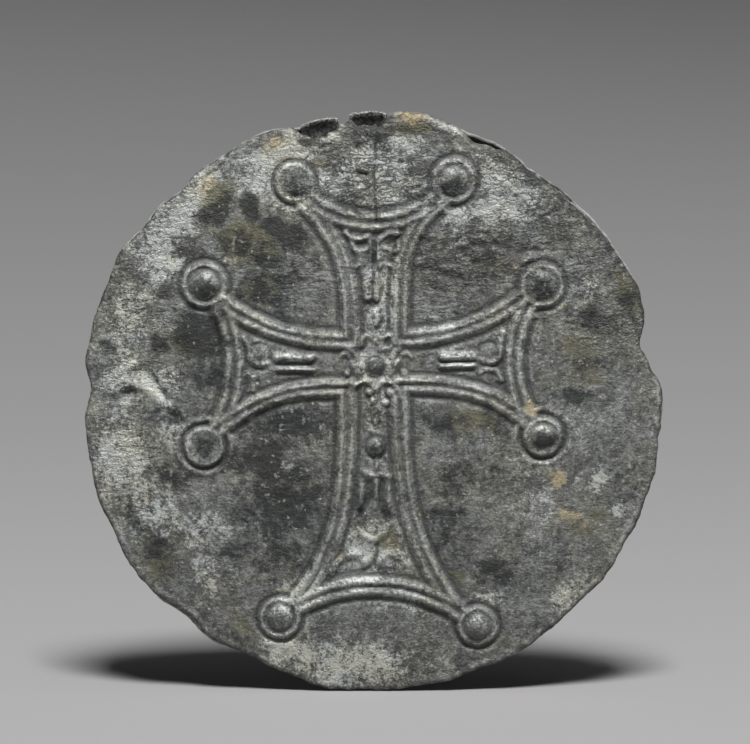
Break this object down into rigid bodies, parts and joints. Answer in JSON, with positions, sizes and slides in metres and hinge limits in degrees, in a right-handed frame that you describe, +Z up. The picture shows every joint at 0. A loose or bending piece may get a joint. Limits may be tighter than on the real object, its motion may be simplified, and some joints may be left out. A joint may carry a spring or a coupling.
{
  "type": "pilgrim medallion",
  "caption": "Round tin-lead pilgrim medallion: pressed front sheet with a flared cross, flat back sheet, soldered rim and stubs of a broken carrying loop.",
  "frame": {"origin": "centre of the flat back, at the mount back_face", "axes": "+Z up as the medallion was worn, +X to the right of someone facing the cross, the cross faces -Y, and +Y points out of the back"},
  "size_m": [0.06, 0.0034, 0.0607],
  "materials": {
    "pressed_tin": "old tin-lead sheet, dull grey with pale bloom and dark tarnish",
    "plain_tin": "old tin-lead sheet, plain, scratched and tarnished",
    "solder": "crumbly grey solder",
    "tarnish": "torn metal, blackened in the breaks"
  },
  "bodies": {
    "root": {"front_sheet": "pressed_tin", "back_sheet": "plain_tin", "rim_solder_lower": "solder", "rim_solder_upper_right": "solder", "rim_solder_upper_left": "solder", "loop_stub_left": "tarnish", "loop_stub_right": "tarnish"}
  },
  "joints": []
}
